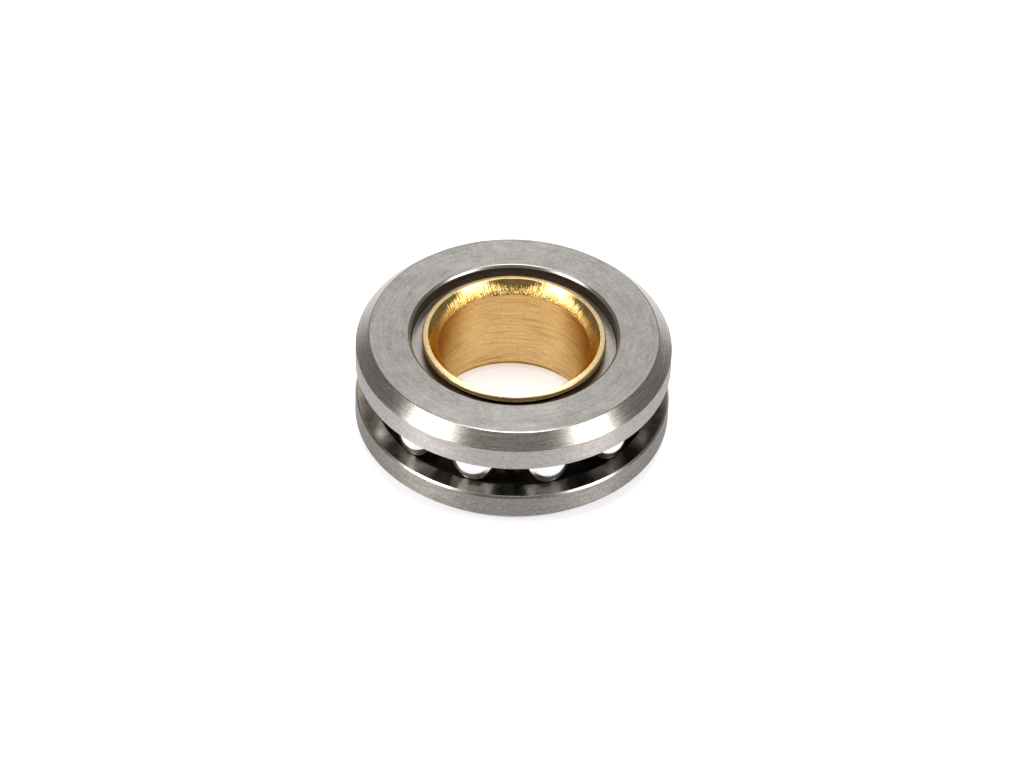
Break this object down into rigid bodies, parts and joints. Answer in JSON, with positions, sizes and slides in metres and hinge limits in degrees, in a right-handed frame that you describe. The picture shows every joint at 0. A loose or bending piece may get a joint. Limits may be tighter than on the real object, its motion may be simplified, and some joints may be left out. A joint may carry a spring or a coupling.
{
  "type": "thrust ball bearing",
  "caption": "Small self-contained thrust ball bearing: chamfered steel races, caged steel balls between them, and a flared brass sleeve that holds the stack and forms the bore.",
  "frame": {"origin": "centre of the lower race's bottom face, on the bearing's axis", "axes": "+Z along the axis of rotation, from the lower race to the upper race; +X and +Y radial"},
  "size_m": [0.013, 0.013, 0.0047],
  "materials": {
    "race_steel": "hardened steel, faces ground flat, rims fine turned",
    "sleeve_brass": "polished lips, turned satin bore",
    "ball_steel": "mirror polished bearing balls",
    "cage_nylon": "moulded black nylon"
  },
  "bodies": {
    "lower_race": {"lower_race": "race_steel"},
    "upper_race": {"upper_race": "race_steel"},
    "cage": {"ball_cage": "cage_nylon"},
    "sleeve": {"sleeve": "sleeve_brass"},
    "ball_01": {"ball_01": "ball_steel"},
    "ball_02": {"ball_02": "ball_steel"},
    "ball_03": {"ball_03": "ball_steel"},
    "ball_04": {"ball_04": "ball_steel"},
    "ball_05": {"ball_05": "ball_steel"},
    "ball_06": {"ball_06": "ball_steel"},
    "ball_07": {"ball_07": "ball_steel"},
    "ball_08": {"ball_08": "ball_steel"},
    "ball_09": {"ball_09": "ball_steel"},
    "ball_10": {"ball_10": "ball_steel"},
    "ball_11": {"ball_11": "ball_steel"},
    "ball_12": {"ball_12": "ball_steel"}
  },
  "joints": [
    {"name": "race_spin", "type": "hinge", "parent": "lower_race", "child": "upper_race", "pos_m": [0, 0, 0.0039], "axis": [0, 0, 1], "continuous": true},
    {"name": "cage_orbit", "type": "hinge", "parent": "lower_race", "child": "cage", "pos_m": [0, 0, 0.00235], "axis": [0, 0, 1], "continuous": true},
    {"name": "sleeve_spin", "type": "hinge", "parent": "lower_race", "child": "sleeve", "pos_m": [0, 0, 0.00235], "axis": [0, 0, 1], "continuous": true},
    {"name": "ball_roll_01", "type": "hinge", "parent": "cage", "child": "ball_01", "pos_m": [-0.00356, -0.00358, 0.00235], "axis": [-0.7046, -0.7096, 0], "continuous": true},
    {"name": "ball_roll_02", "type": "hinge", "parent": "cage", "child": "ball_02", "pos_m": [-0.00139, -0.00485, 0.00235], "axis": [-0.2756, -0.9613, 0], "continuous": true},
    {"name": "ball_roll_03", "type": "hinge", "parent": "cage", "child": "ball_03", "pos_m": [0.00143, -0.00484, 0.00235], "axis": [0.2823, -0.9593, 0], "continuous": true},
    {"name": "ball_roll_04", "type": "hinge", "parent": "cage", "child": "ball_04", "pos_m": [0.00371, -0.00343, 0.00235], "axis": [0.7337, -0.6794, 0], "continuous": true},
    {"name": "ball_roll_05", "type": "hinge", "parent": "cage", "child": "ball_05", "pos_m": [0.0049, -0.00121, 0.00235], "axis": [0.9707, -0.2402, 0], "continuous": true},
    {"name": "ball_roll_06", "type": "hinge", "parent": "cage", "child": "ball_06", "pos_m": [0.00488, 0.00128, 0.00235], "axis": [0.9673, 0.2538, 0], "continuous": true},
    {"name": "ball_roll_07", "type": "hinge", "parent": "cage", "child": "ball_07", "pos_m": [0.00351, 0.00363, 0.00235], "axis": [0.6959, 0.7181, 0], "continuous": true},
    {"name": "ball_roll_08", "type": "hinge", "parent": "cage", "child": "ball_08", "pos_m": [0.00116, 0.00491, 0.00235], "axis": [0.23, 0.9732, 0], "continuous": true},
    {"name": "ball_roll_09", "type": "hinge", "parent": "cage", "child": "ball_09", "pos_m": [-0.00131, 0.00488, 0.00235], "axis": [-0.2588, 0.9659, 0], "continuous": true},
    {"name": "ball_roll_10", "type": "hinge", "parent": "cage", "child": "ball_10", "pos_m": [-0.00362, 0.00352, 0.00235], "axis": [-0.7169, 0.6972, 0], "continuous": true},
    {"name": "ball_roll_11", "type": "hinge", "parent": "cage", "child": "ball_11", "pos_m": [-0.00486, 0.00136, 0.00235], "axis": [-0.9632, 0.2689, 0], "continuous": true},
    {"name": "ball_roll_12", "type": "hinge", "parent": "cage", "child": "ball_12", "pos_m": [-0.00485, -0.00142, 0.00235], "axis": [-0.9598, -0.2807, 0], "continuous": true}
  ],
  "couplings": [
    {"joint": "cage_orbit", "follows": "race_spin", "ratio": 0.5},
    {"joint": "ball_roll_01", "follows": "race_spin", "ratio": -2.525},
    {"joint": "ball_roll_02", "follows": "race_spin", "ratio": -2.525},
    {"joint": "ball_roll_03", "follows": "race_spin", "ratio": -2.525},
    {"joint": "ball_roll_04", "follows": "race_spin", "ratio": -2.525},
    {"joint": "ball_roll_05", "follows": "race_spin", "ratio": -2.525},
    {"joint": "ball_roll_06", "follows": "race_spin", "ratio": -2.525},
    {"joint": "ball_roll_07", "follows": "race_spin", "ratio": -2.525},
    {"joint": "ball_roll_08", "follows": "race_spin", "ratio": -2.525},
    {"joint": "ball_roll_09", "follows": "race_spin", "ratio": -2.525},
    {"joint": "ball_roll_10", "follows": "race_spin", "ratio": -2.525},
    {"joint": "ball_roll_11", "follows": "race_spin", "ratio": -2.525},
    {"joint": "ball_roll_12", "follows": "race_spin", "ratio": -2.525}
  ]
}
